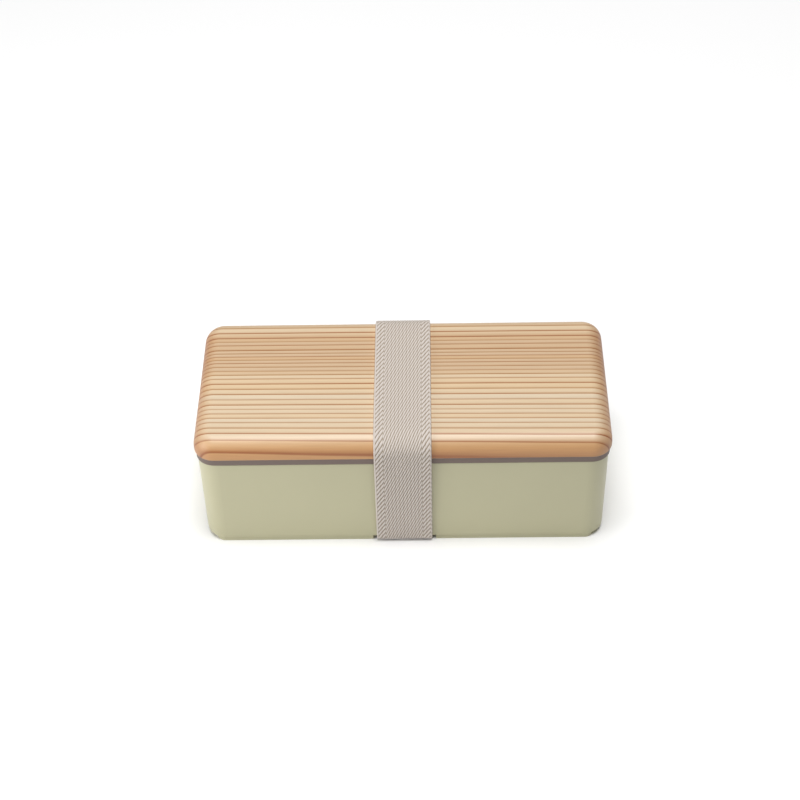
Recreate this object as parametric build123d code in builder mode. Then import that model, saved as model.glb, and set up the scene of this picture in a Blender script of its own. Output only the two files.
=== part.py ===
"""Single-tier bento lunch box with a wooden lid, held shut by an elastic belt.

Millimetres. The origin is on the table under the centre of the box, +Z is up, the length runs
along X, and the front is at -Y. Every piece is drawn closed and packed: the lid is pressed on,
the divider stands in the box and the belt goes round the middle.
"""

import os
from math import acos, atan2, cos, degrees, hypot, radians, sin, tan

from build123d import *

# Box body: a moulded shell with a low foot rim.
lid_length = 200.0
lid_width = 91.0
body_height = 54.1  # table to the box's rim
body_inset = 1.1  # the rim stands this far inside the lid's edge
body_corner_radius = 10.5
draft_angle = 0.8  # degrees, the walls lean out towards the rim
wall = 2.2
floor_thickness = 2.2
cavity_floor_radius = 5.0
rim_radius = 0.7
bottom_edge_radius = 1.2
foot_height = 2.2
foot_inset = 0.4  # from the walls' feet, along the box's long sides
foot_end_inset = 4.6
foot_corner_radius = 4.5
foot_width = 2.4
notch_side_gap = 1.8  # the foot is cut away this far past each side of the belt

# Lid: a solid board, bonded on a moulded frame that plugs the box and holds the gasket.
board_thickness = 10.8
board_corner_radius = 10.0
board_top_radius = 8.2
board_under_radius = 0.8
frame_height = 3.7  # the band that shows between board and box
frame_inset = 0.8
frame_plate = 2.0
skirt_depth = 6.5
skirt_wall = 2.6
skirt_clearance = 0.8
boss_height = 1.5
boss_inset = 9.0
boss_clearance = 0.4
groove_depth = 1.3
groove_height = 3.0
groove_drop = 1.7  # flange to the groove's upper edge

# Gasket: a silicone ring with two sealing fins.
gasket_clearance = 0.1
fin_height = 0.8
fin_gap = 0.2  # fin tip to the box's wall
fin_tip_radius = 0.3

# Divider: a web between two side flanges and a bottom flange.
divider_place = 28.0  # X of the web
divider_height = 41.0
divider_clearance = 0.4
web_thickness = 1.8
flange_thickness = 1.6
flange_length = 16.0
scoop_width = 44.0
scoop_depth = 6.0

# Elastic belt: one loop, sewn with a lap at the back.
belt_width = 27.5
belt_thickness = 1.6
belt_gap = 0.2
belt_seam_rise = 1.0  # from the board's underside, so the seam lies on a straight stretch
lap_length = 22.0
stitch_length = 2.0
stitch_pitch = 2.7
stitch_width = 0.5
stitch_height = 0.3
stitch_rows = 2
stitch_row_inset = 3.5  # from each end of the lap
stitch_side_inset = 2.0

# What follows from those.
body_length = lid_length - 2 * body_inset
body_width = lid_width - 2 * body_inset
lid_top = body_height + frame_height + board_thickness
board_bottom = body_height + frame_height
cavity_floor = foot_height + floor_thickness
lean = tan(radians(draft_angle))


def wall_outline(height, inset=0.0):
    """Length, width and corner radius of the box's outside at a height, moved in by inset."""
    taken = (body_height - height) * lean + inset
    return body_length - 2 * taken, body_width - 2 * taken, body_corner_radius - taken


def foot_outline(inset=0.0):
    """Length, width and corner radius of the foot rim's outside, moved in by inset."""
    length, width, _ = wall_outline(foot_height)
    outline = length - 2 * foot_end_inset, width - 2 * foot_inset, foot_corner_radius
    return straight_outline(*outline, inset)


def straight_outline(length, width, radius, inset):
    """Length, width and corner radius of a rounded rectangle moved in by inset."""
    return length - 2 * inset, width - 2 * inset, radius - inset


def write(part, name):
    """Label a finished piece and write it to its own file."""
    part.label = name
    export_step(part, f"parts/{name}.step")


def make_box_body():
    """The shell: leaning walls, a rounded floor inside and a foot rim with a notch for the belt."""
    with BuildPart() as box_body:
        with BuildSketch(Plane.XY.offset(foot_height)):
            RectangleRounded(*wall_outline(foot_height))
        extrude(amount=body_height - foot_height, taper=-draft_angle)
        fillet(box_body.faces().sort_by(Axis.Z)[0].edges(), bottom_edge_radius)
        with BuildSketch(Plane.XY.offset(cavity_floor)):
            RectangleRounded(*wall_outline(cavity_floor, wall))
        extrude(amount=body_height - cavity_floor, taper=-draft_angle, mode=Mode.SUBTRACT)
        cavity_base = box_body.faces().filter_by(Plane.XY).group_by(Axis.Z)[1]
        fillet(cavity_base.edges(), cavity_floor_radius)
        fillet(box_body.faces().sort_by(Axis.Z)[-1].edges(), rim_radius)
        with BuildSketch():
            RectangleRounded(*foot_outline())
            RectangleRounded(*foot_outline(foot_width), mode=Mode.SUBTRACT)
            Rectangle(belt_width + 2 * notch_side_gap, lid_width, mode=Mode.SUBTRACT)
        extrude(amount=foot_height + floor_thickness / 2)
    return box_body.part


def make_lid_frame():
    """The moulded frame: a flange that shows as a band, a skirt inside the box and a boss above."""
    skirt_foot = body_height - skirt_depth
    skirt_outline = wall_outline(skirt_foot, wall + skirt_clearance)
    groove_top = body_height - groove_drop
    with BuildPart() as lid_frame:
        with BuildSketch(Plane.XY.offset(body_height)):
            RectangleRounded(
                *straight_outline(lid_length, lid_width, board_corner_radius, frame_inset)
            )
        extrude(amount=frame_height)
        with BuildSketch(Plane.XY.offset(skirt_foot)):
            RectangleRounded(*skirt_outline)
        extrude(amount=skirt_depth)
        with BuildSketch(Plane.XY.offset(skirt_foot)):
            RectangleRounded(*straight_outline(*skirt_outline, skirt_wall))
        extrude(amount=skirt_depth + frame_height - frame_plate, mode=Mode.SUBTRACT)
        fillet(lid_frame.faces().filter_by(Plane.XY).sort_by(Axis.Z)[0].edges(), rim_radius)
        with BuildSketch(Plane.XY.offset(groove_top - groove_height)):
            RectangleRounded(*skirt_outline)
            RectangleRounded(
                *straight_outline(*skirt_outline, groove_depth), mode=Mode.SUBTRACT
            )
        extrude(amount=groove_height, mode=Mode.SUBTRACT)
        with BuildSketch(Plane.XY.offset(board_bottom)):
            RectangleRounded(
                *straight_outline(lid_length, lid_width, board_corner_radius + boss_inset / 2, boss_inset)
            )
        extrude(amount=boss_height)
    return lid_frame.part


def make_lid_gasket():
    """A ring in the frame's groove, with two fins that wipe the box's wall."""
    skirt_outline = wall_outline(body_height - skirt_depth, wall + skirt_clearance)
    bottom = body_height - groove_drop - groove_height + gasket_clearance
    height = groove_height - 2 * gasket_clearance
    inner_outline = straight_outline(*skirt_outline, groove_depth - gasket_clearance)
    with BuildPart() as lid_gasket:
        with BuildSketch(Plane.XY.offset(bottom)):
            RectangleRounded(*skirt_outline)
            RectangleRounded(*inner_outline, mode=Mode.SUBTRACT)
        extrude(amount=height)
        for fin_base in (bottom, bottom + height - fin_height):
            with BuildSketch(Plane.XY.offset(fin_base)):
                RectangleRounded(*wall_outline(bottom, wall + fin_gap))
                RectangleRounded(*inner_outline, mode=Mode.SUBTRACT)
            extrude(amount=fin_height)
        fin_faces = lid_gasket.faces().sort_by(Axis.X)
        tips = [face for face in fin_faces if abs(face.center().X - fin_faces[-1].center().X) < 0.05]
        tip_edges = [edge for face in tips for edge in face.edges().filter_by(Axis.Y)]
        fillet(tip_edges, fin_tip_radius)
    return lid_gasket.part


def make_wooden_lid():
    """The board: a deep round along its top edge, a small one under it, and a pocket for the boss."""
    board_outline = (lid_length, lid_width, board_corner_radius)
    boss_outline = straight_outline(
        lid_length, lid_width, board_corner_radius + boss_inset / 2, boss_inset - boss_clearance
    )
    with BuildPart() as wooden_lid:
        with BuildSketch(Plane.XY.offset(board_bottom)):
            RectangleRounded(*board_outline)
        extrude(amount=board_thickness)
        fillet(wooden_lid.faces().sort_by(Axis.Z)[-1].edges(), board_top_radius)
        fillet(wooden_lid.faces().sort_by(Axis.Z)[0].edges(), board_under_radius)
        with BuildSketch(Plane.XY.offset(board_bottom)):
            RectangleRounded(*boss_outline)
        extrude(amount=boss_height + boss_clearance, mode=Mode.SUBTRACT)
    return wooden_lid.part


def divider_outline(inset):
    """The divider seen from the end, moved in by inset: leaning sides and round lower corners."""
    low = cavity_floor + divider_clearance + inset
    high = cavity_floor + divider_height
    half_low = wall_outline(low, wall + divider_clearance + inset)[1] / 2
    half_high = wall_outline(high, wall + divider_clearance + inset)[1] / 2
    with BuildSketch() as outline:
        Polygon((-half_low, low), (half_low, low), (half_high, high), (-half_high, high), align=None)
        fillet(outline.vertices().group_by(Axis.Y)[0], cavity_floor_radius - inset)
    return outline.sketch


def make_divider():
    """A web across the box with flanges along the walls and the floor, and a scoop for a finger."""
    top = cavity_floor + divider_height
    pocket_length = (flange_length - web_thickness) / 2
    scoop_radius = (scoop_width**2 / 4 + scoop_depth**2) / (2 * scoop_depth)
    with BuildPart() as divider:
        with BuildSketch(Plane.YZ.offset(divider_place)):
            add(divider_outline(0.0))
        extrude(amount=flange_length / 2, both=True)
        for side in (1, -1):
            with BuildSketch(Plane.YZ.offset(divider_place + side * web_thickness / 2)):
                add(divider_outline(flange_thickness))
            extrude(amount=side * pocket_length, mode=Mode.SUBTRACT)
        with BuildSketch(Plane.YZ.offset(divider_place)):
            with Locations((0, top - scoop_depth + scoop_radius)):
                Circle(scoop_radius)
        extrude(amount=flange_length / 2, both=True, mode=Mode.SUBTRACT)
    return divider.part


def wrapped_outline(distance):
    """The taut outline round lid and box, seen from the end, this far outside them."""
    side = lid_width / 2 + distance
    top = lid_top + distance
    shoulder = (lid_width / 2 - board_top_radius, lid_top - board_top_radius)
    heel = (wall_outline(foot_height)[1] / 2 - bottom_edge_radius, foot_height + bottom_edge_radius)
    heel_radius = bottom_edge_radius + distance
    rise = board_bottom - heel[1]
    run = side - heel[0]
    tangent = atan2(rise, run) - acos(heel_radius / hypot(rise, run))
    heel_end = (heel[0] + heel_radius * cos(tangent), heel[1] + heel_radius * sin(tangent))
    with BuildSketch() as outline:
        with BuildLine():
            Line((0, top), (shoulder[0], top))
            CenterArc(shoulder, board_top_radius + distance, 0, 90)
            Polyline((side, shoulder[1]), (side, board_bottom), heel_end)
            CenterArc(heel, heel_radius, -90, 90 + degrees(tangent))
            Line((heel[0], heel[1] - heel_radius), (0, heel[1] - heel_radius))
            mirror(about=Plane.YZ)
        make_face()
    return outline.sketch


def belt_loop(kept):
    """The part of the loop above or below the seam, just over the board's underside."""
    with BuildPart() as loop:
        with BuildSketch(Plane.YZ):
            add(wrapped_outline(belt_gap + belt_thickness))
            add(wrapped_outline(belt_gap), mode=Mode.SUBTRACT)
        extrude(amount=belt_width / 2, both=True)
        split(bisect_by=Plane.XY.offset(board_bottom + belt_seam_rise), keep=kept)
    return loop.part


def back_plane(loop):
    """A plane on the loop's back span: X runs across the belt and Y up it."""
    behind = loop.faces().filter_by(GeomType.PLANE).filter_by(lambda face: face.center().Y > 0)
    span = behind.filter_by(lambda face: face.normal_at().Y > 0.9).sort_by(SortBy.AREA)[-1]
    return Plane(origin=span.center(), x_dir=(-1, 0, 0), z_dir=span.normal_at())


def make_belt_lower_loop():
    """The sides and the underside of the belt, with the sewn lap at the back."""
    loop = belt_loop(Keep.BOTTOM)
    with BuildPart() as belt_lower_loop:
        add(loop)
        with BuildSketch(back_plane(loop)):
            Rectangle(belt_width, lap_length)
        extrude(amount=belt_thickness)
    return belt_lower_loop.part


def make_belt_stitches():
    """Rows of thread across the lap, one solid for each stitch."""
    count = int((belt_width - 2 * stitch_side_inset) / stitch_pitch)
    row_gap = (lap_length - 2 * stitch_row_inset) / (stitch_rows - 1)
    with BuildPart() as belt_stitches:
        with BuildSketch(back_plane(belt_loop(Keep.BOTTOM)).offset(belt_thickness)):
            with GridLocations(stitch_pitch, row_gap, count, stitch_rows):
                SlotOverall(stitch_length, stitch_width)
        extrude(amount=stitch_height)
    return belt_stitches.part


os.makedirs("parts", exist_ok=True)
write(make_box_body(), "box_body")
write(make_divider(), "divider")
write(make_lid_frame(), "lid_frame")
write(make_lid_gasket(), "lid_gasket")
write(make_wooden_lid(), "wooden_lid")
write(belt_loop(Keep.TOP), "belt_top_span")
write(make_belt_lower_loop(), "belt_lower_loop")
write(make_belt_stitches(), "belt_stitches")
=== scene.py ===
"""Looks for a bento lunch box: cedar lid, moulded box and a woven elastic belt."""

from math import acos, atan2, ceil, cos, floor, pi, radians, sin

import bpy
from bpy.props import FloatProperty, FloatVectorProperty, IntProperty, PointerProperty
from mathutils import Matrix, Vector


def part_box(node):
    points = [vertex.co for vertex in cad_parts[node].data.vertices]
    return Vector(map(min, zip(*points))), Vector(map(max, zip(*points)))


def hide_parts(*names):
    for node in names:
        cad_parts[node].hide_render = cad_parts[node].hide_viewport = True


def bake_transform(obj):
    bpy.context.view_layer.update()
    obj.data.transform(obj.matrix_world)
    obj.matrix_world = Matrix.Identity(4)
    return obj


bl_info = {
    "name": "Bento lunch box",
    "version": (1, 0, 0),
    "blender": (4, 5, 0),
    "location": "View3D > Sidebar > Lunch Box",
    "description": "Finishes the lid, box and belt of a bento lunch box",
    "category": "Add Mesh",
}

MM = 0.001

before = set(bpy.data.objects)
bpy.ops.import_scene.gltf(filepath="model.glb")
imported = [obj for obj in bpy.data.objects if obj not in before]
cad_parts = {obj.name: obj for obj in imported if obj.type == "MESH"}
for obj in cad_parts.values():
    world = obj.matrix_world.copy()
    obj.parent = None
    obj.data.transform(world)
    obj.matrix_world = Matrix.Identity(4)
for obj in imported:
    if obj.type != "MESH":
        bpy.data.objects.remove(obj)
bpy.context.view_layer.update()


def from_hex(text):
    """Linear red, green and blue for an sRGB hex colour."""
    channels = [int(text[i:i + 2], 16) / 255 for i in (1, 3, 5)]
    return tuple(c / 12.92 if c <= 0.04045 else ((c + 0.055) / 1.055) ** 2.4 for c in channels)


def opaque(colour):
    """A colour with full alpha, as a shader socket takes it."""
    return (*colour[:3], 1.0)


# ---------------------------------------------------------------- settings


class LunchBoxWood(bpy.types.PropertyGroup):
    """The lid's cedar."""

    earlywood: FloatVectorProperty(
        name="Earlywood", description="Pale wood grown in spring", subtype="COLOR",
        size=3, min=0, max=1, default=from_hex("#D6C4A9"))
    earlywood_warm: FloatVectorProperty(
        name="Warm earlywood", description="Spring wood of the pinker years", subtype="COLOR",
        size=3, min=0, max=1, default=from_hex("#D6BC98"))
    latewood: FloatVectorProperty(
        name="Latewood", description="Dark line that closes each year", subtype="COLOR",
        size=3, min=0, max=1, default=from_hex("#9C6420"))
    latewood_warm: FloatVectorProperty(
        name="Warm latewood", description="Dark line of the redder years", subtype="COLOR",
        size=3, min=0, max=1, default=from_hex("#985826"))
    end_grain: FloatVectorProperty(
        name="End grain", description="Tint of the cut fibre ends", subtype="COLOR",
        size=3, min=0, max=1, default=from_hex("#D0A479"))
    # Warmer, darker tint on the faces towards front and back: partly the edges' orange figure, partly
    # painted shade.
    edge_figure_and_shade: FloatVectorProperty(
        name="Edge figure and shade", description="Tint of the long edges", subtype="COLOR",
        size=3, min=0, max=1, default=from_hex("#E8C49F"))
    close_grown: FloatVectorProperty(
        name="Close-grown wood", description="Tint of the strip that grew in hard years", subtype="COLOR",
        size=3, min=0, max=1, default=from_hex("#F2E7DE"))
    fibre: FloatProperty(
        name="Fibre width", description="Width of the finest streaks along the grain",
        subtype="DISTANCE", unit="LENGTH", default=0.45 * MM)
    wander: FloatProperty(
        name="Wander", description="How far a ring strays from straight",
        subtype="DISTANCE", unit="LENGTH", default=0.25 * MM)


class LunchBoxMoulding(bpy.types.PropertyGroup):
    """The moulded pieces."""

    sage: FloatVectorProperty(
        name="Sage", description="Paint of the box and the divider", subtype="COLOR",
        size=3, min=0, max=1, default=from_hex("#BCB896"))
    warm_grey: FloatVectorProperty(
        name="Warm grey", description="Plastic of the lid's frame", subtype="COLOR",
        size=3, min=0, max=1, default=from_hex("#75655D"))
    silicone: FloatVectorProperty(
        name="Silicone", description="Milky gasket", subtype="COLOR",
        size=3, min=0, max=1, default=from_hex("#E6E4DC"))
    grit: FloatProperty(
        name="Grit", description="Grain of the satin skin, drawn coarser than the real 0.1 mm so it shows",
        subtype="DISTANCE", unit="LENGTH", default=0.35 * MM)


class LunchBoxBelt(bpy.types.PropertyGroup):
    """The woven elastic belt."""

    yarn: FloatVectorProperty(
        name="Yarn", description="Polyester yarn on the belt's face", subtype="COLOR",
        size=3, min=0, max=1, default=from_hex("#CFC6BF"))
    groove: FloatVectorProperty(
        name="Groove", description="Shadowed yarn between the ribs", subtype="COLOR",
        size=3, min=0, max=1, default=from_hex("#7C6A4E"))
    gap: FloatProperty(
        name="Gap", description="Between the belt's inside and the lid",
        subtype="DISTANCE", unit="LENGTH", default=0.2 * MM)
    lid_round: FloatProperty(
        name="Lid round", description="Radius of the lid's upper edge",
        subtype="DISTANCE", unit="LENGTH", default=8.2 * MM)
    bottom_round: FloatProperty(
        name="Bottom round", description="Radius of the box's lower edge",
        subtype="DISTANCE", unit="LENGTH", default=1.2 * MM)
    thickness: FloatProperty(
        name="Thickness", description="From the belt's inside to the top of its ribs",
        subtype="DISTANCE", unit="LENGTH", default=1.6 * MM)
    cords: IntProperty(
        name="Cords", description="Covered rubber cords side by side under the face", default=14, min=4)
    rib_along: FloatProperty(
        name="Rib pitch", description="From rib to rib along the belt",
        subtype="DISTANCE", unit="LENGTH", default=3.05 * MM)
    rib_depth: FloatProperty(
        name="Rib depth", description="From the top of a rib to its groove",
        subtype="DISTANCE", unit="LENGTH", default=0.4 * MM)
    border_cords: IntProperty(
        name="Border cords", description="Cords at each edge that carry a bolder rib", default=2, min=0)
    selvedge: FloatProperty(
        name="Selvedge", description="Width of the bound edge outside the border",
        subtype="DISTANCE", unit="LENGTH", default=0.9 * MM)
    columns: IntProperty(
        name="Columns", description="Mesh columns across the belt's face", default=112, min=12)
    row: FloatProperty(
        name="Row", description="Length of a mesh row along the belt",
        subtype="DISTANCE", unit="LENGTH", default=0.47 * MM)
    lap: FloatProperty(
        name="Lap", description="Length of the sewn overlap at the back",
        subtype="DISTANCE", unit="LENGTH", default=22 * MM)


class LunchBoxSettings(bpy.types.PropertyGroup):
    """Everything a user would change."""

    wood: PointerProperty(type=LunchBoxWood)
    moulding: PointerProperty(type=LunchBoxMoulding)
    belt: PointerProperty(type=LunchBoxBelt)


# ---------------------------------------------------------------- materials


def add_node(tree, kind, inputs=None, **settings):
    """Add one node, set its properties, and fill or link its inputs."""
    made = tree.nodes.new(kind)
    for name, value in settings.items():
        setattr(made, name, value)
    for key, value in (inputs or {}).items():
        if isinstance(value, bpy.types.NodeSocket):
            tree.links.new(value, made.inputs[key])
        else:
            made.inputs[key].default_value = value
    return made


def new_material(name, **surface):
    """A material with one Principled shader; surface gives its plain socket values."""
    material = bpy.data.materials.new(name)
    material.use_nodes = True
    shader = material.node_tree.nodes["Principled BSDF"]
    for socket, value in surface.items():
        shader.inputs[socket.replace("_", " ")].default_value = value
    return material, material.node_tree, shader


def ramp(tree, value, stops):
    """A colour ramp's output for a list of (position, grey level or colour)."""
    made = add_node(tree, "ShaderNodeValToRGB", {"Fac": value})
    elements = made.color_ramp.elements
    while len(elements) < len(stops):
        elements.new(0.5)
    for element, (position, level) in zip(elements, stops):
        element.position = position
        element.color = opaque(level) if isinstance(level, tuple) else (level, level, level, 1)
    return made.outputs["Color"]


def maths(tree, operation, *values):
    """The result of one Math node."""
    return add_node(tree, "ShaderNodeMath", dict(enumerate(values)), operation=operation).outputs[0]


def millimetres(tree):
    """The surface point in the frame, in millimetres."""
    point = add_node(tree, "ShaderNodeTexCoord").outputs["Object"]
    scaled = {0: point, 1: (1 / MM, 1 / MM, 1 / MM)}
    return add_node(tree, "ShaderNodeVectorMath", scaled, operation="MULTIPLY").outputs[0]


def stretched_noise(tree, point, sizes, detail=2.0):
    """Noise whose grain measures sizes, in millimetres along X, Y and Z."""
    scaled = {0: point, 1: tuple(1 / size for size in sizes)}
    vector = add_node(tree, "ShaderNodeVectorMath", scaled, operation="MULTIPLY").outputs[0]
    inputs = {"Vector": vector, "Scale": 1.0, "Detail": detail}
    return add_node(tree, "ShaderNodeTexNoise", inputs).outputs["Fac"]


def mix(tree, factor, first, second, blend_type="MIX"):
    """One colour mixed over another."""
    made = add_node(tree, "ShaderNodeMix", data_type="RGBA", blend_type=blend_type)
    for index, value in ((0, factor), (6, first), (7, second)):
        if isinstance(value, bpy.types.NodeSocket):
            tree.links.new(value, made.inputs[index])
        else:
            made.inputs[index].default_value = value if index == 0 else opaque(value)
    return made.outputs[2]


# The tree's years counted from the lid's back edge, as (years in a row, width of each in millimetres).
YEARS = ((4, 3.9), (2, 2.7), (1, 3.8), (4, 2.4), (4, 2.9), (5, 3.75), (4, 3.1), (3, 3.8), (1, 5.2), (2, 4.5))
# The rings lean, so they come this much nearer to the front for each millimetre of height.
RING_LEAN = 0.3
# Where the close-grown strip lies, as (millimetres from the lid's back edge, strength).
HARD_YEARS = ((11, 0.0), (14, 1.0), (40, 1.0), (44, 0.0))
HARD_YEARS_SPAN = 100
# How dark the ring is through a year, from spring to the line that closes it.
SEASONS = ((0.0, 0.55), (0.05, 0.0), (0.5, 0.03), (0.7, 0.16), (0.84, 0.5), (0.93, 1.0), (1.0, 0.9))
# The trunk tapers, so a ring strays this share of its depth for each millimetre to the right.
RING_TAPER = 0.000176


def count_years(tree, depth):
    """How many years lie between the back edge and a depth in millimetres."""
    total_depth = sum(years * width for years, width in YEARS)
    total_years = sum(years for years, width in YEARS)
    share = maths(tree, "DIVIDE", depth, total_depth)
    curve = add_node(tree, "ShaderNodeFloatCurve", {"Value": share})
    line = curve.mapping.curves[0]
    reached = passed = 0.0
    for years, width in YEARS[:-1]:
        reached += years * width
        passed += years
        line.points.new(reached / total_depth, passed / total_years)
    for point in line.points:
        point.handle_type = "VECTOR"
    curve.mapping.update()
    return maths(tree, "MULTIPLY", curve.outputs[0], total_years)


def grey(tree, level):
    """A grey colour from one number."""
    return add_node(tree, "ShaderNodeCombineColor", {0: level, 1: level, 2: level}).outputs[0]


def make_cedar(wood):
    """Quarter-sawn cedar, planed, rounded over and clear-coated semi-matt: straight dark lines on
    a cream ground, which turn into broad orange figure where the front edge cuts along a ring."""
    material, tree, shader = new_material(
        "cedar_clear_coated", Roughness=0.45, IOR=1.5, Coat_Weight=0.1, Coat_Roughness=0.35)
    point = millimetres(tree)
    axes = add_node(tree, "ShaderNodeSeparateXYZ", {0: point}).outputs
    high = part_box("wooden_lid")[1] / MM
    wander = maths(tree, "SUBTRACT", stretched_noise(tree, point, (75, 22, 30), 1.0), 0.5)
    wander = maths(tree, "MULTIPLY", wander, wood.wander / MM * 2)
    taper = maths(tree, "MULTIPLY_ADD", axes["X"], -RING_TAPER, 1.0)
    depth = maths(tree, "MULTIPLY", maths(tree, "SUBTRACT", high.y, axes["Y"]), taper)
    lean = maths(tree, "MULTIPLY", maths(tree, "SUBTRACT", high.z, axes["Z"]), RING_LEAN)
    depth = maths(tree, "ADD", maths(tree, "ADD", depth, lean), wander)
    years = count_years(tree, depth)
    year = maths(tree, "FLOOR", years)
    season = maths(tree, "FRACT", years)
    luck = add_node(tree, "ShaderNodeTexWhiteNoise", {"W": year}, noise_dimensions="1D")
    luck = add_node(tree, "ShaderNodeSeparateColor", {0: luck.outputs["Color"]}).outputs
    late = ramp(tree, season, SEASONS)
    along = stretched_noise(tree, point, (30, 2.5, 2.5), 2.0)
    strength = maths(tree, "MULTIPLY_ADD", luck["Red"], 0.35, 0.5)
    strength = maths(tree, "MULTIPLY_ADD", along, 0.35, strength)
    late = maths(tree, "MULTIPLY", late, strength)
    pale = mix(tree, luck["Green"], wood.earlywood, wood.earlywood_warm)
    dark = mix(tree, luck["Blue"], wood.latewood, wood.latewood_warm)
    colour = mix(tree, late, pale, dark)
    fibres = stretched_noise(tree, point, (18, wood.fibre / MM, wood.fibre / MM), 3.0)
    streak = maths(tree, "MULTIPLY_ADD", fibres, 0.2, 0.9)
    colour = mix(tree, 1.0, colour, grey(tree, streak), "MULTIPLY")
    strip = maths(tree, "DIVIDE", depth, HARD_YEARS_SPAN)
    strip = ramp(tree, strip, [(place / HARD_YEARS_SPAN, strength) for place, strength in HARD_YEARS])
    colour = mix(tree, strip, colour, wood.close_grown, "MULTIPLY")
    # Cut fibre ends drink the finish and turn a deeper orange.
    facing = add_node(tree, "ShaderNodeNewGeometry").outputs["Normal"]
    facing = add_node(tree, "ShaderNodeSeparateXYZ", {0: facing}).outputs
    end_grain = maths(tree, "POWER", maths(tree, "ABSOLUTE", facing["X"]), 1.5)
    colour = mix(tree, end_grain, colour, wood.end_grain, "MULTIPLY")
    # The faces towards front and back get a warmer, darker tint: partly the edges' orange figure, partly
    # painted shade.
    edge_figure_and_shade = maths(tree, "POWER", maths(tree, "ABSOLUTE", facing["Y"]), 1.5)
    colour = mix(tree, edge_figure_and_shade, colour, wood.edge_figure_and_shade, "MULTIPLY")
    tree.links.new(colour, shader.inputs["Base Color"])
    relief = maths(tree, "ADD", maths(tree, "MULTIPLY", late, 0.5), maths(tree, "MULTIPLY", fibres, 0.5))
    bump = add_node(tree, "ShaderNodeBump", {"Height": relief, "Strength": 0.25, "Distance": 0.05 * MM})
    tree.links.new(bump.outputs[0], shader.inputs["Normal"])
    return material


def make_moulded(name, colour, roughness, grit, coat=0.0):
    """Moulded plastic with a satin skin: even colour, a soft highlight and a trace of grit in it."""
    material, tree, shader = new_material(name, Roughness=roughness, IOR=1.5, Coat_Weight=coat,
                                          Coat_Roughness=0.3)
    point = millimetres(tree)
    cloud = stretched_noise(tree, point, (35, 35, 35), 2.0)
    deep = tuple(channel * 0.94 for channel in colour)
    tree.links.new(mix(tree, cloud, deep, tuple(colour)), shader.inputs["Base Color"])
    fine = stretched_noise(tree, point, (grit / MM,) * 3, 1.0)
    bump = add_node(tree, "ShaderNodeBump", {"Height": fine, "Strength": 0.12, "Distance": 0.03 * MM})
    tree.links.new(bump.outputs[0], shader.inputs["Normal"])
    return material


def make_silicone(colour):
    """Moulded silicone rubber: milky, slightly see-through and dull."""
    material, tree, shader = new_material("silicone_milky", Roughness=0.5, IOR=1.41,
                                          Subsurface_Weight=0.3, Subsurface_Scale=2 * MM)
    cloud = stretched_noise(tree, millimetres(tree), (4, 4, 4), 2.0)
    deep = tuple(channel * 0.9 for channel in colour)
    tree.links.new(mix(tree, cloud, deep, tuple(colour)), shader.inputs["Base Color"])
    return material


def ridge_nodes(tree, phase, steepness):
    """The shader's own ridge: 1 along the middle of each period and 0 in the slit beside it."""
    slope = maths(tree, "MULTIPLY_ADD", maths(tree, "FRACT", phase), 2.0, -1.0)
    return maths(tree, "SUBTRACT", 1.0, maths(tree, "POWER", maths(tree, "ABSOLUTE", slope), steepness))


def make_webbing(belt):
    """Polyester twill woven over rubber cords: matt yarn, with darker slits between short ribs."""
    material, tree, shader = new_material(
        "elastic_twill_webbing", Roughness=0.85, IOR=1.5, Sheen_Weight=0.2, Sheen_Roughness=0.5)
    place = add_node(tree, "ShaderNodeAttribute", attribute_name="weave").outputs["Vector"]
    axes = add_node(tree, "ShaderNodeSeparateXYZ", {0: place}).outputs
    low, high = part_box("belt_lower_loop")
    half_width = (high.x - low.x) / 2
    pitch = cord_pitch(belt, 2 * half_width)
    inside = maths(tree, "SUBTRACT", half_width / MM, maths(tree, "ABSOLUTE", axes["X"]))
    border = maths(tree, "LESS_THAN", inside, (belt.selvedge + belt.border_cords * pitch) / MM)
    selvedge = maths(tree, "LESS_THAN", inside, belt.selvedge / MM)
    ribs_per_cord = maths(tree, "MULTIPLY_ADD", border, BORDER_RIBS_PER_CORD - RIBS_PER_CORD, RIBS_PER_CORD)
    cords_over = maths(tree, "DIVIDE", axes["X"], pitch / MM)
    phase = maths(tree, "MULTIPLY", cords_over, ribs_per_cord)
    phase = maths(tree, "SUBTRACT", phase, maths(tree, "DIVIDE", axes["Y"], belt.rib_along / MM))
    rib = ridge_nodes(tree, phase, 2.0)
    cord = ridge_nodes(tree, cords_over, 4.0)
    relief = maths(tree, "MULTIPLY", rib, maths(tree, "MULTIPLY_ADD", cord, CORD_SHARE, 1 - CORD_SHARE))
    held = maths(tree, "MULTIPLY", selvedge, maths(tree, "SUBTRACT", axes["Z"], relief))
    relief = maths(tree, "ADD", relief, held)
    fuzz = stretched_noise(tree, millimetres(tree), (0.3, 0.3, 0.3), 2.0)
    light = maths(tree, "ADD", relief, maths(tree, "MULTIPLY_ADD", fuzz, 0.3, -0.15))
    shade = ramp(tree, light, ((0.1, 0.0), (0.55, 0.75), (0.95, 1.0)))
    tree.links.new(mix(tree, shade, belt.groove, belt.yarn), shader.inputs["Base Color"])
    height = maths(tree, "ADD", relief, maths(tree, "MULTIPLY", fuzz, 0.3))
    bump = add_node(tree, "ShaderNodeBump", {"Height": height, "Strength": 0.7, "Distance": 0.1 * MM})
    tree.links.new(bump.outputs[0], shader.inputs["Normal"])
    return material


def make_thread(colour):
    """Twisted polyester sewing thread, a little glossier than the webbing."""
    material, tree, shader = new_material("sewing_thread", Roughness=0.6, IOR=1.5, Sheen_Weight=0.2)
    twist = stretched_noise(tree, millimetres(tree), (0.25, 0.25, 0.25), 1.0)
    deep = tuple(channel * 0.7 for channel in colour)
    tree.links.new(mix(tree, twist, deep, tuple(colour)), shader.inputs["Base Color"])
    return material


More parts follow.
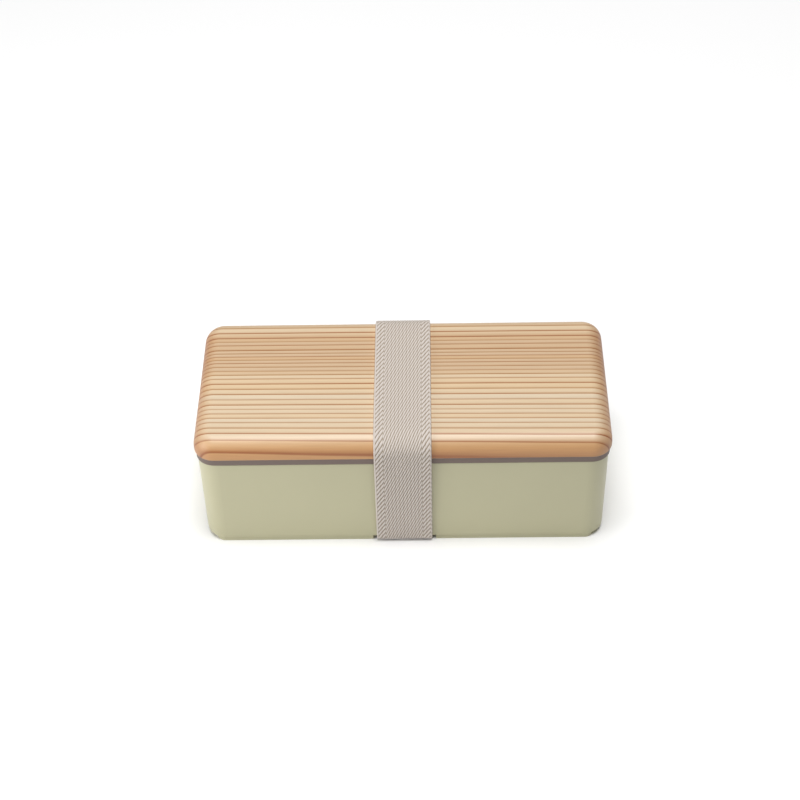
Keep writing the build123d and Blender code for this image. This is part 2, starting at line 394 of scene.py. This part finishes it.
def finish_node(name, material):
    """Give a CAD node its material."""
    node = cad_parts[name]
    node.data.materials.clear()
    node.data.materials.append(material)
    return node


# ---------------------------------------------------------------- belt


# Points of the CAD belt this close to its lowest height lie on its underside.
TOUCHING = 0.01 * MM


def belt_corners(belt):
    """The arcs that the belt bends round, as (centre, inner radius, first, last angle).

    Seen from the end of the box, with Y to the right and Z up. The belt runs down the back, under
    the box, up the front and back over the lid, so the angle of its outward normal falls."""
    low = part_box("belt_lower_loop")[0]
    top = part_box("belt_top_span")[1]
    board_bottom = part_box("wooden_lid")[0].z
    points = [vertex.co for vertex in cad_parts["belt_lower_loop"].data.vertices]
    underside = [point.y for point in points if point.z < low.z + TOUCHING]
    low_radius = belt.bottom_round + belt.gap
    top_radius = belt.lid_round + belt.gap
    shoulder = top.y - belt.thickness - top_radius
    lid_corner = Vector((top.y - belt.thickness - belt.gap, board_bottom))
    box_corner = Vector((max(underside), low.z + belt.thickness + low_radius))
    lid_arc = Vector((shoulder, top.z - belt.thickness - top_radius))
    span = lid_corner - box_corner
    lean = atan2(span.y, span.x) - acos((low_radius - belt.gap) / span.length)
    flip = Vector((-1, 1))
    return (
        (box_corner, low_radius, lean, -pi / 2),
        (box_corner * flip, low_radius, -pi / 2, -pi - lean),
        (lid_corner * flip, belt.gap, -pi - lean, -pi),
        (lid_arc * flip, top_radius, -pi, -3 * pi / 2),
        (lid_arc, top_radius, -3 * pi / 2, -2 * pi),
        (lid_corner, belt.gap, -2 * pi, -2 * pi + lean),
    )


def outward(angle):
    """The unit vector at an angle in the Y-Z plane."""
    return Vector((cos(angle), sin(angle)))


def belt_route(belt):
    """The closed line of the belt's inside as (length, place) pieces; place(t) gives the point and
    the normal's angle at a share t of the piece. It starts half way down the back."""
    corners = belt_corners(belt)
    pieces = []
    for index, (centre, radius, first, last) in enumerate(corners):
        before = corners[index - 1]
        start = before[0] + outward(before[3]) * before[1]
        end = centre + outward(first) * radius
        if index == 0:
            start = (start + end) / 2
        pieces.append(((end - start).length, lambda t, a=start, b=end, n=first: (a.lerp(b, t), n)))
        pieces.append((
            abs(last - first) * (radius + belt.thickness),
            lambda t, c=centre, r=radius, a=first, b=last: (
                c + outward(a + (b - a) * t) * r, a + (b - a) * t)))
    start = corners[-1][0] + outward(corners[-1][3]) * corners[-1][1]
    end = corners[0][0] + outward(corners[0][2]) * corners[0][1]
    middle = (start + end) / 2
    pieces.append(((middle - start).length, lambda t, a=start, b=middle, n=corners[0][2]: (a.lerp(b, t), n)))
    return pieces


def station(pieces, distance):
    """The point and normal at a distance along the closed route."""
    total = sum(length for length, _ in pieces)
    distance %= total
    for length, place in pieces:
        if distance <= length:
            return place(distance / length if length else 0.0)
        distance -= length
    return pieces[-1][1](1.0)


def ridge(phase, steepness):
    """A rounded ridge, 1 at its top and 0 in the slit beside it."""
    return 1 - abs(2 * (phase - floor(phase)) - 1) ** steepness


def smooth_step(low, high, value):
    """0 below low, 1 above high and an even curve between."""
    share = min(max((value - low) / (high - low), 0.0), 1.0)
    return share * share * (3 - 2 * share)


# How many diagonal ribs cross one cord, inside and in the border, and how much of the relief the
# cords themselves make.
RIBS_PER_CORD = 1.5
BORDER_RIBS_PER_CORD = 1.0
CORD_SHARE = 0.45


def cord_pitch(belt, width):
    """Distance from cord to cord across the belt."""
    return (width - 2 * belt.selvedge) / belt.cords


def weave_height(belt, width, across, along):
    """Relief of the belt's face, from 0 in a slit to 1 on a rib."""
    inside = width / 2 - abs(across)
    pitch = cord_pitch(belt, width)
    turns = along / belt.rib_along
    if inside < belt.selvedge:
        return 0.75 if across < 0 else 0.25 + 0.75 * ridge(across / pitch + turns, 2.0)
    in_border = inside < belt.selvedge + belt.border_cords * pitch
    ribs = BORDER_RIBS_PER_CORD if in_border else RIBS_PER_CORD
    rib = ridge(across / pitch * ribs - turns, 2.0)
    return rib * (1 - CORD_SHARE + CORD_SHARE * ridge(across / pitch, 4.0))


def make_mesh(name, vertices, faces, material):
    """A smooth-shaded mesh object in the scene."""
    mesh = bpy.data.meshes.new(name)
    mesh.from_pydata(vertices, [], faces)
    mesh.polygons.foreach_set("use_smooth", [True] * len(mesh.polygons))
    mesh.materials.append(material)
    made = bpy.data.objects.new(name, mesh)
    bpy.context.scene.collection.objects.link(made)
    return made


def belt_section(belt, width):
    """Points round the belt's section as (across, share of thickness, is on the face)."""
    edge = 0.5 * MM
    face = [-width / 2 + width * i / belt.columns for i in range(belt.columns + 1)]
    points = []
    for across in face:
        past = max(abs(across) - (width / 2 - edge), 0.0) / edge
        points.append((across, 0.5 + 0.5 * max(1 - past * past, 0.0) ** 0.5, True))
    for share in (0.97, 0.6, 0.0, -0.6, -0.97):
        points.append((share * width / 2, 0.12 if abs(share) > 0.9 else 0.0, False))
    return points


# The lap's end climbs onto the belt over this length, and its cut edge is pressed flat over this one.
LAP_CLIMB = 5 * MM
LAP_END = 0.6 * MM


def make_belt(belt, material):
    """One strap, woven in relief, that runs round the box and laps over its own start."""
    pieces = belt_route(belt)
    total = sum(length for length, _ in pieces)
    low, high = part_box("belt_lower_loop")
    width = high.x - low.x
    section = belt_section(belt, width)
    rows = ceil((total + belt.lap) / belt.row)
    vertices, places = [], []
    for row in range(rows + 1):
        distance = -belt.lap / 2 + (total + belt.lap) * row / rows
        point, angle = station(pieces, distance)
        out = outward(angle)
        lift = belt.thickness * smooth_step(total - belt.lap / 2 - LAP_CLIMB, total - belt.lap / 2, distance)
        end_taper = smooth_step(0, LAP_END, total + belt.lap / 2 - distance)
        for across, share, on_face in section:
            height = belt.thickness * share
            relief = 0.7
            if on_face:
                relief = weave_height(belt, width, across, distance)
                height -= belt.rib_depth * (1 - relief) * min(1.0, 2 * share - 1 + 0.35)
            height = lift + belt.thickness * 0.5 + (height - belt.thickness * 0.5) * (0.6 + 0.4 * end_taper)
            spot = point + out * height
            vertices.append((across, spot.x, spot.y))
            places.extend((across / MM, distance / MM, relief))
    ring = len(section)
    faces = []
    for row in range(rows):
        for index in range(ring):
            following = (index + 1) % ring
            a, b = row * ring + index, row * ring + following
            faces.append((a, a + ring, b + ring, b))
    faces.append(tuple(range(ring)))
    faces.append(tuple(rows * ring + index for index in reversed(range(ring))))
    made = make_mesh("woven_belt", vertices, faces, material)
    attribute = made.data.attributes.new("weave", "FLOAT_VECTOR", "POINT")
    attribute.data.foreach_set("vector", places)
    return made


def follow_lid(piece):
    """Bake a belt piece's transform into its mesh."""
    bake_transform(piece)


# Stitch rows lie this far in from the lap's ends; thread sinks and arches by these heights.
STITCH_ROW_INSET = 3.5 * MM
STITCH_SINK = 0.12 * MM
STITCH_ARCH = 0.28 * MM


def make_stitches(belt, material):
    """Thread arches in rows across the lap, each one pulled down into the webbing at its ends."""
    pieces = belt_route(belt)
    count, pitch, length, radius = 8, 2.7 * MM, 2.1 * MM, 0.24 * MM
    sides, steps = 8, 8
    vertices, faces = [], []
    for row_distance in (-belt.lap / 2 + STITCH_ROW_INSET, belt.lap / 2 - STITCH_ROW_INSET):
        point, angle = station(pieces, row_distance)
        out = outward(angle)
        up = Vector((-out.y, out.x))
        for index in range(count):
            centre = (index - (count - 1) / 2) * pitch
            first = len(vertices)
            for step in range(steps + 1):
                share = step / steps
                across = centre + (share - 0.5) * length
                height = 2 * belt.thickness - STITCH_SINK + STITCH_ARCH * sin(pi * share)
                for side in range(sides):
                    turn = 2 * pi * side / sides
                    spot = point + out * (height + radius * sin(turn)) + up * radius * cos(turn)
                    vertices.append((across, spot.x, spot.y))
            for step in range(steps):
                for side in range(sides):
                    a = first + step * sides + side
                    b = first + step * sides + (side + 1) % sides
                    faces.append((a, b, b + sides, a + sides))
            faces.append(tuple(first + side for side in reversed(range(sides))))
            faces.append(tuple(first + steps * sides + side for side in range(sides)))
    return make_mesh("lap_stitches", vertices, faces, material)


# ---------------------------------------------------------------- operators


class LUNCHBOX_OT_box(bpy.types.Operator):
    """Finish the moulded box"""

    bl_idname = "lunchbox.box"
    bl_label = "Box"

    def execute(self, context):
        look = context.scene.lunch_box.moulding
        finish_node("box_body", make_moulded("abs_satin_sage", tuple(look.sage), 0.42, look.grit, 0.15))
        return {"FINISHED"}


class LUNCHBOX_OT_divider(bpy.types.Operator):
    """Finish the sliding divider"""

    bl_idname = "lunchbox.divider"
    bl_label = "Divider"

    def execute(self, context):
        look = context.scene.lunch_box.moulding
        finish_node("divider", make_moulded("polypropylene_sage", tuple(look.sage), 0.5, look.grit))
        return {"FINISHED"}


class LUNCHBOX_OT_lid_frame(bpy.types.Operator):
    """Finish the moulded frame under the wooden lid"""

    bl_idname = "lunchbox.lid_frame"
    bl_label = "Lid frame"

    def execute(self, context):
        look = context.scene.lunch_box.moulding
        finish_node("lid_frame", make_moulded("abs_matt_warm_grey", tuple(look.warm_grey), 0.55, look.grit))
        return {"FINISHED"}


class LUNCHBOX_OT_gasket(bpy.types.Operator):
    """Finish the silicone gasket"""

    bl_idname = "lunchbox.gasket"
    bl_label = "Gasket"

    def execute(self, context):
        finish_node("lid_gasket", make_silicone(tuple(context.scene.lunch_box.moulding.silicone)))
        return {"FINISHED"}


class LUNCHBOX_OT_wooden_lid(bpy.types.Operator):
    """Finish the cedar board"""

    bl_idname = "lunchbox.wooden_lid"
    bl_label = "Wooden lid"

    def execute(self, context):
        finish_node("wooden_lid", make_cedar(context.scene.lunch_box.wood))
        return {"FINISHED"}


class LUNCHBOX_OT_belt(bpy.types.Operator):
    """Weave the elastic belt and sew its lap"""

    bl_idname = "lunchbox.belt"
    bl_label = "Belt"

    def execute(self, context):
        belt = context.scene.lunch_box.belt
        strap = make_belt(belt, make_webbing(belt))
        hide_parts("belt_top_span", "belt_lower_loop")
        follow_lid(strap)
        stitches = make_stitches(belt, make_thread(tuple(belt.yarn)))
        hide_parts("belt_stitches")
        follow_lid(stitches)
        return {"FINISHED"}


def add_area_light(name, azimuth, elevation, distance, size, power, target):
    """A square soft box that faces the target from a direction in degrees."""
    light = bpy.data.lights.new(name, "AREA")
    light.size = size
    light.energy = power
    lamp = bpy.data.objects.new(name, light)
    turn = Matrix.Rotation(radians(azimuth), 4, "Z") @ Matrix.Rotation(radians(90 - elevation), 4, "X")
    lamp.matrix_world = Matrix.Translation(target) @ turn @ Matrix.Translation((0, 0, distance))
    bpy.context.scene.collection.objects.link(lamp)
    return lamp


class LUNCHBOX_OT_stage(bpy.types.Operator):
    """Set up the floor, the soft light and the camera"""

    bl_idname = "lunchbox.stage"
    bl_label = "Stage"

    def execute(self, context):
        scene = context.scene
        # Matt white backdrop paper, so only a soft contact shadow shows round the box.
        material = new_material("backdrop_paper", Roughness=0.9, Base_Color=opaque(from_hex("#FAFAFA")))[0]
        half = 3.0
        corners = [(-half, -half, 0), (half, -half, 0), (half, half, 0), (-half, half, 0)]
        floor_sheet = make_mesh("floor", corners, [(0, 1, 2, 3)], material)
        world = bpy.data.worlds.new("soft_room")
        world.use_nodes = True
        background = world.node_tree.nodes["Background"]
        background.inputs["Color"].default_value = (1, 1, 1, 1)
        background.inputs["Strength"].default_value = 0.08
        scene.world = world
        target = Vector((0, 0, 0.03))
        add_area_light("overhead", 30, 86, 2.4, 1.5, 66, target)
        add_area_light("left", -62, 18, 0.62, 0.36, 1.7, target)
        camera = bpy.data.cameras.new("camera")
        camera.sensor_width = 36
        camera.lens = 83.3
        camera.clip_start = 0.05
        eye = bpy.data.objects.new("camera", camera)
        turn = (Matrix.Rotation(radians(1.334), 4, "Z") @ Matrix.Rotation(radians(90 - 43.196), 4, "X")
                @ Matrix.Rotation(radians(-1.538), 4, "Z"))
        eye.matrix_world = turn @ Matrix.Translation((-2.615 * MM, 39.181 * MM, 951.367 * MM))
        scene.collection.objects.link(eye)
        scene.camera = eye
        scene.view_settings.view_transform = "Standard"
        return {"FINISHED"}


class LUNCHBOX_PT_panel(bpy.types.Panel):
    """Lists the pieces of the lunch box"""

    bl_idname = "LUNCHBOX_PT_panel"
    bl_label = "Lunch Box"
    bl_space_type = "VIEW_3D"
    bl_region_type = "UI"
    bl_category = "Lunch Box"

    def draw(self, context):
        layout = self.layout
        for operator in OPERATORS:
            layout.operator(operator.bl_idname)
        settings = context.scene.lunch_box
        for group in (settings.wood, settings.moulding, settings.belt):
            box = layout.box()
            for name in group.bl_rna.properties.keys():
                if name not in ("rna_type", "name"):
                    box.prop(group, name)


OPERATORS = (
    LUNCHBOX_OT_box,
    LUNCHBOX_OT_divider,
    LUNCHBOX_OT_lid_frame,
    LUNCHBOX_OT_gasket,
    LUNCHBOX_OT_wooden_lid,
    LUNCHBOX_OT_belt,
    LUNCHBOX_OT_stage,
)
CLASSES = (LunchBoxWood, LunchBoxMoulding, LunchBoxBelt, LunchBoxSettings, *OPERATORS, LUNCHBOX_PT_panel)


def register():
    """Register the classes and put the settings on the scene."""
    for cls in CLASSES:
        bpy.utils.register_class(cls)
    bpy.types.Scene.lunch_box = PointerProperty(type=LunchBoxSettings)


def unregister():
    """Take the settings and the classes away again."""
    del bpy.types.Scene.lunch_box
    for cls in reversed(CLASSES):
        bpy.utils.unregister_class(cls)


def main():
    """Make every piece in order."""
    register()
    for operator in OPERATORS:
        group, name = operator.bl_idname.split(".")
        getattr(getattr(bpy.ops, group), name)()


if __name__ == "__main__":
    main()
